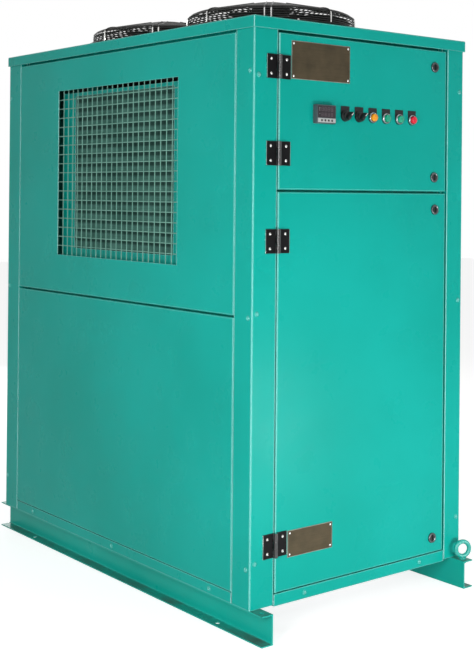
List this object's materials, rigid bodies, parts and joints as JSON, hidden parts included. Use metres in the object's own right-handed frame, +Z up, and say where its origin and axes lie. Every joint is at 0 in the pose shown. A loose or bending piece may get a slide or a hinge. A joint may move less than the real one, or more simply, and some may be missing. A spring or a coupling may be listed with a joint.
{
  "type": "air-cooled water chiller",
  "caption": "Sheet-steel chiller cabinet on base channels with hinged control and service doors, mesh side windows and guarded roof fans.",
  "frame": {"origin": "on the floor, at the centre of the four floor-anchor holes, midway between the channel ends", "axes": "+Z up, -Y towards the doors, +X to the right seen from the doors"},
  "size_m": [0.7725, 1.338, 1.636],
  "materials": {
    "painted_teal": "semi-gloss powder coat, blue-green",
    "galvanised_sheet": "hot-dip galvanised sheet",
    "mesh_wire": "pale blue-green coated wire",
    "seal_rubber": "matt black foam and rubber",
    "black_hinge": "satin black",
    "bright_steel": "zinc-plated, bright",
    "plate_bronze": "anodised bronze-brown sheet",
    "lock_chrome": "bright chrome",
    "lock_core_dark": "dark plated zinc",
    "controller_case": "slate grey moulded case",
    "black_plastic": "black moulded plastic",
    "lens_amber": "translucent amber lens",
    "lens_green": "translucent green lens",
    "lens_red": "translucent red lens",
    "box_paint": "light grey texture paint",
    "switchgear_mix": "grey devices, ducts and plate",
    "fan_black": "black powder coat",
    "coil_fins": "coated aluminium fins, dark grey-green",
    "compressor_black": "black stoved paint",
    "stainless": "stainless steel",
    "copper": "copper tube, slightly tarnished",
    "pump_blue": "blue machine paint",
    "pipe_steel": "galvanised steel pipe"
  },
  "bodies": {
    "cabinet": {"base_channel_left": "painted_teal", "base_channel_right": "painted_teal", "lifting_eyebolt": "painted_teal", "corner_posts": "painted_teal", "frame_rails": "painted_teal", "floor_pan": "galvanised_sheet", "mid_deck": "galvanised_sheet", "roof_cap": "painted_teal", "side_panel_left_upper": "painted_teal", "side_panel_left_lower": "painted_teal", "side_panel_right_upper": "painted_teal", "side_panel_right_lower": "painted_teal", "rear_panel_upper": "painted_teal", "rear_panel_lower": "painted_teal", "mesh_left": "mesh_wire", "mesh_right": "mesh_wire", "door_seals": "seal_rubber", "hinge_frame_leaves": "black_hinge", "hinge_pins": "bright_steel", "frame_screws": "painted_teal", "hinge_screws_frame": "bright_steel", "electrical_box": "box_paint", "switchgear": "switchgear_mix", "fan_shrouds": "fan_black", "fan_guards": "fan_black", "fan_motors": "fan_black", "coil_casings": "painted_teal", "condenser_coils": "coil_fins", "compressor": "compressor_black", "compressor_mounts": "seal_rubber", "plate_evaporator": "stainless", "refrigerant_pipes": "copper", "water_tank": "stainless", "water_pump": "pump_blue", "water_pipes": "pipe_steel"},
    "control_door": {"control_door": "painted_teal", "hinge_leaves_control": "black_hinge", "hinge_screws_control": "bright_steel", "name_plate_upper": "plate_bronze", "lock_rings_control": "lock_chrome", "temperature_controller": "controller_case", "legend_plates": "black_plastic", "control_bezels": "lock_chrome"},
    "service_door": {"service_door": "painted_teal", "hinge_leaves_service": "black_hinge", "hinge_screws_service": "bright_steel", "name_plate_lower": "plate_bronze", "lock_rings_service": "lock_chrome"},
    "lock_1": {"lock_core_1": "lock_core_dark"},
    "lock_2": {"lock_core_2": "lock_core_dark"},
    "lock_3": {"lock_core_3": "lock_core_dark"},
    "lock_4": {"lock_core_4": "lock_core_dark"},
    "selector_1": {"selector_knob_1": "black_plastic"},
    "selector_2": {"selector_knob_2": "black_plastic"},
    "button_amber": {"button_amber": "lens_amber"},
    "button_green_1": {"button_green_1": "lens_green"},
    "button_green_2": {"button_green_2": "lens_green"},
    "button_red": {"button_red": "lens_red"},
    "fan_front": {"fan_rotor_front": "fan_black"},
    "fan_rear": {"fan_rotor_rear": "fan_black"}
  },
  "joints": [
    {"name": "control_door_swing", "type": "hinge", "parent": "cabinet", "child": "control_door", "pos_m": [-0.3025, -0.6259, 1.295], "axis": [0, 0, -1], "range_deg": [0, 120]},
    {"name": "service_door_swing", "type": "hinge", "parent": "cabinet", "child": "service_door", "pos_m": [-0.3025, -0.6259, 0.599], "axis": [0, 0, -1], "range_deg": [0, 120]},
    {"name": "lock_1_turn", "type": "hinge", "parent": "control_door", "child": "lock_1", "pos_m": [0.262, -0.62, 1.139], "axis": [0, 1, 0], "range_deg": [0, 90]},
    {"name": "lock_2_turn", "type": "hinge", "parent": "control_door", "child": "lock_2", "pos_m": [0.262, -0.62, 1.443], "axis": [0, -1, 0], "range_deg": [0, 90]},
    {"name": "lock_3_turn", "type": "hinge", "parent": "service_door", "child": "lock_3", "pos_m": [0.266, -0.62, 0.144], "axis": [0, 1, 0], "range_deg": [0, 90]},
    {"name": "lock_4_turn", "type": "hinge", "parent": "service_door", "child": "lock_4", "pos_m": [0.266, -0.62, 1.05], "axis": [0, -1, 0], "range_deg": [0, 90]},
    {"name": "selector_1_turn", "type": "hinge", "parent": "control_door", "child": "selector_1", "pos_m": [-0.07613, -0.62, 1.293], "axis": [0, -1, 0], "range_deg": [0, 90]},
    {"name": "selector_2_turn", "type": "hinge", "parent": "control_door", "child": "selector_2", "pos_m": [-0.02642, -0.62, 1.293], "axis": [0, -1, 0], "range_deg": [0, 90]},
    {"name": "button_amber_press", "type": "slide", "parent": "control_door", "child": "button_amber", "axis": [0, 1, 0], "range_m": [0, 0.004], "stiffness_N_per_m": 800, "springref_m": -0.002},
    {"name": "button_green_1_press", "type": "slide", "parent": "control_door", "child": "button_green_1", "axis": [0, 1, 0], "range_m": [0, 0.004], "stiffness_N_per_m": 800, "springref_m": -0.002},
    {"name": "button_green_2_press", "type": "slide", "parent": "control_door", "child": "button_green_2", "axis": [0, 1, 0], "range_m": [0, 0.004], "stiffness_N_per_m": 800, "springref_m": -0.002},
    {"name": "button_red_press", "type": "slide", "parent": "control_door", "child": "button_red", "axis": [0, 1, 0], "range_m": [0, 0.004], "stiffness_N_per_m": 800, "springref_m": -0.002},
    {"name": "fan_front_spin", "type": "hinge", "parent": "cabinet", "child": "fan_front", "pos_m": [0, -0.225, 1.57], "axis": [0, 0, 1], "continuous": true},
    {"name": "fan_rear_spin", "type": "hinge", "parent": "cabinet", "child": "fan_rear", "pos_m": [0, 0.29, 1.57], "axis": [0, 0, 1], "continuous": true}
  ]
}
